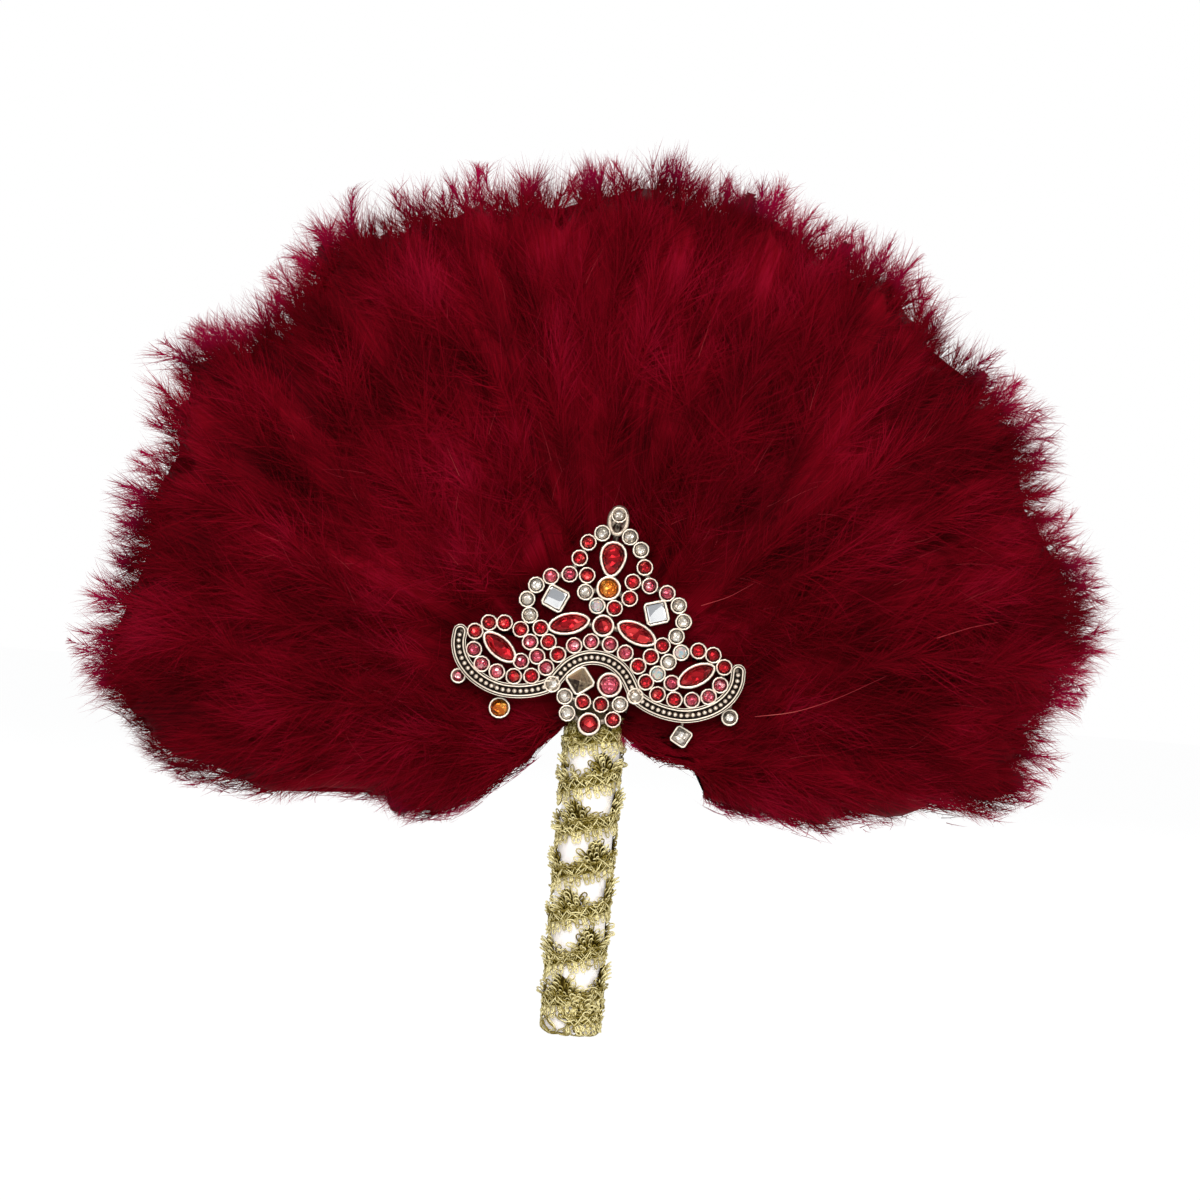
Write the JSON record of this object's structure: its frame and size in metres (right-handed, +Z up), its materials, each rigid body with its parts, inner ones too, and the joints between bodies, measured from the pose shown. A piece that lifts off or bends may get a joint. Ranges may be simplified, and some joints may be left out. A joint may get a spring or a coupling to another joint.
{
  "type": "feather hand fan",
  "caption": "Rigid feather hand fan on a round stick: puffed plumes over a card board, lace-wound satin grip, jewelled brooch with swinging drops.",
  "frame": {"origin": "on the stick's axis, half way up the grip, where a hand holds the fan", "axes": "+Z up along the stick to the fan's crown, the front with the brooch faces -Y, +X to the right seen from the front"},
  "size_m": [0.3864, 0.059, 0.3442],
  "materials": {
    "stick_wood": "matte",
    "grip_foam": "matte",
    "white_satin": "satin",
    "gold_lace": "matte",
    "card_board": "matte",
    "backing_felt": "matte",
    "red_fluff": "matte",
    "dark_vane": "matte",
    "antique_metal": "satin",
    "bronze_stud": "satin",
    "red_glass": "polished",
    "amber_glass": "polished",
    "pink_glass": "polished",
    "clear_glass": "polished",
    "mirror_glass": "polished"
  },
  "bodies": {
    "fan_body": {"handle_dowel": "stick_wood", "handle_padding": "grip_foam", "satin_wrap": "white_satin", "butt_cover": "white_satin", "neck_binding": "gold_lace", "lace_trim": "gold_lace", "fan_board": "card_board", "back_patch": "backing_felt", "front_plume_1": "red_fluff", "front_plume_2": "red_fluff", "front_plume_3": "red_fluff", "front_plume_4": "red_fluff", "front_plume_5": "red_fluff", "front_plume_6": "red_fluff", "front_plume_7": "red_fluff", "front_plume_8": "red_fluff", "front_plume_9": "red_fluff", "inner_plume_1": "red_fluff", "inner_plume_2": "red_fluff", "inner_plume_3": "red_fluff", "inner_plume_4": "red_fluff", "inner_plume_5": "red_fluff", "back_plume_1": "red_fluff", "back_plume_2": "red_fluff", "back_plume_3": "red_fluff", "back_plume_4": "red_fluff", "back_plume_5": "red_fluff", "back_plume_6": "red_fluff", "base_feather_1": "dark_vane", "base_feather_2": "dark_vane", "base_feather_3": "dark_vane", "base_feather_4": "dark_vane", "base_feather_5": "dark_vane", "base_feather_6": "dark_vane", "base_feather_7": "dark_vane", "base_feather_8": "dark_vane", "base_feather_9": "dark_vane", "brooch_frame": "antique_metal", "brooch_pad": "backing_felt", "centre_stone": "red_glass", "amber_stone": "amber_glass", "teardrop_stone": "red_glass", "lower_stone": "red_glass", "pink_stone": "pink_glass", "pyramid_stud": "bronze_stud", "mirror_left": "mirror_glass", "mirror_right": "mirror_glass", "marquise_left": "red_glass", "marquise_right": "red_glass", "wing_marquise_left": "red_glass", "wing_marquise_right": "red_glass"},
    "left_outer_drop": {"drop_setting_left_outer": "antique_metal", "drop_stone_left_outer": "pink_glass"},
    "left_lower_drop": {"drop_setting_left_lower": "antique_metal", "drop_stone_left_lower": "amber_glass"},
    "right_lower_drop": {"drop_setting_right_lower": "antique_metal", "drop_stone_right_lower": "clear_glass"},
    "right_outer_drop": {"drop_setting_right_outer": "antique_metal", "drop_stone_right_outer": "clear_glass"}
  },
  "joints": [
    {"name": "left_outer_swing", "type": "hinge", "parent": "fan_body", "child": "left_outer_drop", "pos_m": [-0.05436, -0.0095, 0.08483], "axis": [0, 1, 0], "range_deg": [-35, 35]},
    {"name": "left_lower_swing", "type": "hinge", "parent": "fan_body", "child": "left_lower_drop", "pos_m": [-0.03747, -0.0095, 0.07376], "axis": [0, 1, 0], "range_deg": [-35, 35]},
    {"name": "right_lower_swing", "type": "hinge", "parent": "fan_body", "child": "right_lower_drop", "pos_m": [0.03367, -0.0095, 0.06928], "axis": [0, 1, 0], "range_deg": [-35, 35]},
    {"name": "right_outer_swing", "type": "hinge", "parent": "fan_body", "child": "right_outer_drop", "pos_m": [0.05178, -0.0095, 0.07761], "axis": [0, 1, 0], "range_deg": [-35, 35]}
  ]
}
